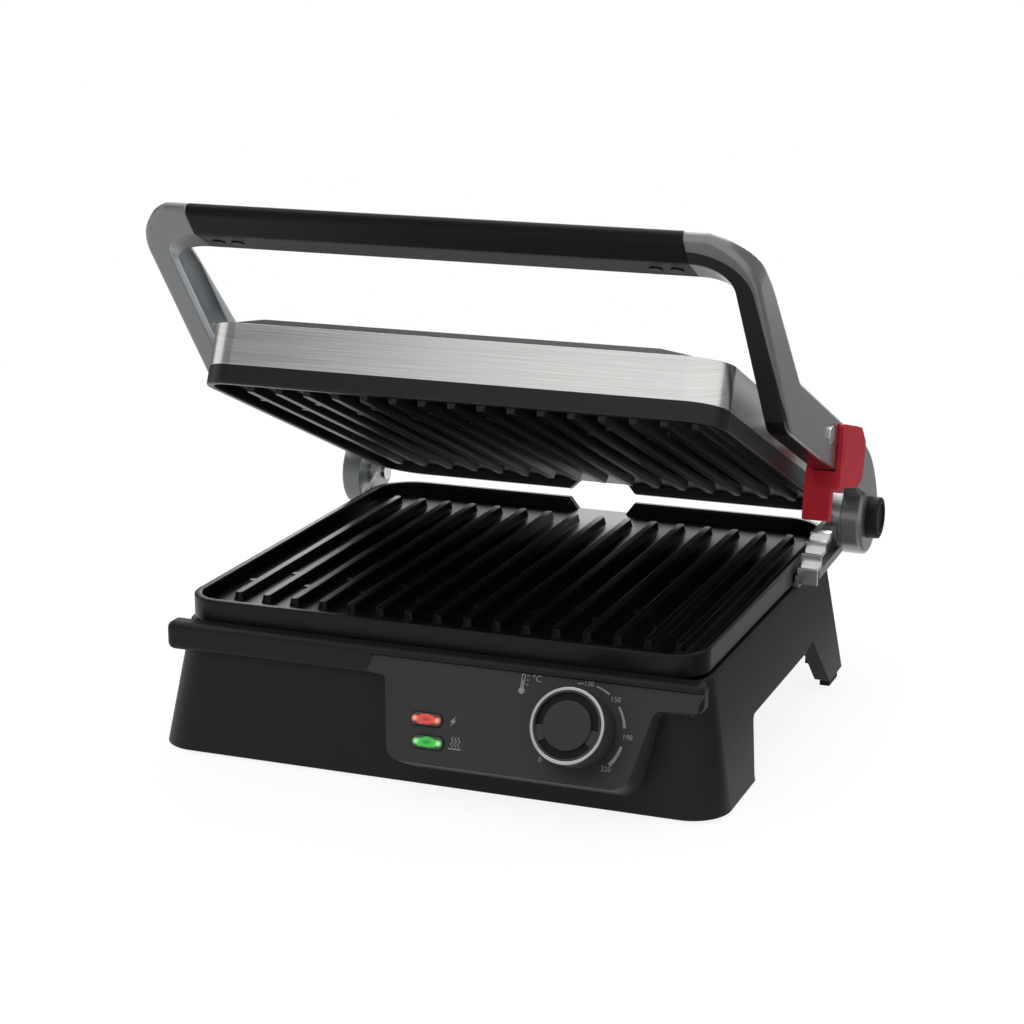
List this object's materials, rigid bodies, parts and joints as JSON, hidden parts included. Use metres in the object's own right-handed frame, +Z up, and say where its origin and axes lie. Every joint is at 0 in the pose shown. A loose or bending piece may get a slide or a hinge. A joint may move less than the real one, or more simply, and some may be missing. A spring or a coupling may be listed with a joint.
{
  "type": "panini press",
  "caption": "Panini press with ribbed nonstick plates, a floating brushed-steel lid on a bow handle, a stepped height stop with a red slider, and a leaning panel with a temperature dial.",
  "frame": {"origin": "on the table, under the middle of the lower cooking plate", "axes": "+X to the user's right, -Y towards the user, +Z up; the lid stands part open as in the picture"},
  "size_m": [0.3537, 0.3506, 0.307],
  "materials": {
    "shell_plastic": "fine satin",
    "panel_plastic": "satin",
    "knob_plastic": "satin",
    "bright_ring": "polished",
    "red_lens": "clear gloss",
    "green_lens": "clear gloss",
    "lamp_glass": "clear",
    "board": "matt",
    "white_plastic": "matt",
    "wire_cover": "satin",
    "rubber": "matt",
    "nonstick": "satin nonstick coating",
    "heater_steel": "oxidised",
    "aluminised_sheet": "satin",
    "steel_sheet": "satin",
    "bright_steel": "polished",
    "rack_steel": "satin plated",
    "arm_paint": "satin silver",
    "inlay_plastic": "satin",
    "grip_plastic": "satin",
    "grip_cover_plastic": "satin",
    "slider_plastic": "semi-gloss",
    "brushed_band": "brushed along its length",
    "lid_paint": "satin",
    "bush_brass": "turned",
    "tray_plastic": "satin"
  },
  "bodies": {
    "base": {"base_shell": "shell_plastic", "bottom_cover": "shell_plastic", "cover_screws": "bright_steel", "rubber_feet": "rubber", "cord_gland": "shell_plastic", "control_panel": "panel_plastic", "power_lens": "red_lens", "ready_lens": "green_lens", "lamp_holder": "board", "indicator_lamps": "lamp_glass", "thermostat": "white_plastic", "lower_plate": "nonstick", "lower_heater": "heater_steel", "lower_reflector": "aluminised_sheet", "thermal_cutout": "white_plastic", "terminal_block": "white_plastic", "supply_wires": "wire_cover", "right_hinge_bracket": "steel_sheet", "left_hinge_bracket": "steel_sheet", "bracket_screws": "bright_steel", "hinge_pins": "bright_steel", "hinge_washers": "bright_steel", "right_hinge_cap": "shell_plastic", "left_hinge_cap": "shell_plastic", "height_rack": "rack_steel"},
    "handle_frame": {"right_arm": "arm_paint", "left_arm": "arm_paint", "right_arm_inlay": "inlay_plastic", "grip_core": "steel_sheet", "grip_shell": "grip_plastic", "grip_cover": "grip_cover_plastic", "grip_screws": "bright_steel", "pivot_screws": "bright_steel"},
    "lid": {"upper_plate": "nonstick", "lid_frame": "steel_sheet", "lid_band": "brushed_band", "lid_top": "lid_paint", "pivot_bushes": "bush_brass", "upper_heater": "heater_steel", "upper_reflector": "aluminised_sheet"},
    "height_slider": {"height_slider": "slider_plastic"},
    "dial": {"dial_knob": "knob_plastic", "dial_ring": "bright_ring", "dial_cap": "knob_plastic", "dial_shaft": "bright_steel"},
    "drip_tray": {"drip_tray": "tray_plastic"}
  },
  "joints": [
    {"name": "handle_hinge", "type": "hinge", "parent": "base", "child": "handle_frame", "pos_m": [0, 0.138, 0.093], "axis": [-1, 0, 0], "range_deg": [-23.8, 81.2]},
    {"name": "lid_float", "type": "hinge", "parent": "handle_frame", "child": "lid", "pos_m": [0, 0.03138, 0.16844], "axis": [-1, 0, 0], "range_deg": [-1.5, 1.5]},
    {"name": "slider_travel", "type": "slide", "parent": "handle_frame", "child": "height_slider", "axis": [0, 0.915, -0.4035], "range_m": [0, 0.046]},
    {"name": "dial_turn", "type": "hinge", "parent": "base", "child": "dial", "pos_m": [0.092, -0.16248, 0.04848], "axis": [0, 0.891, -0.454], "range_deg": [0, 270]},
    {"name": "tray_slide", "type": "slide", "parent": "base", "child": "drip_tray", "axis": [0, 1, 0], "range_m": [0, 0.1]}
  ]
}
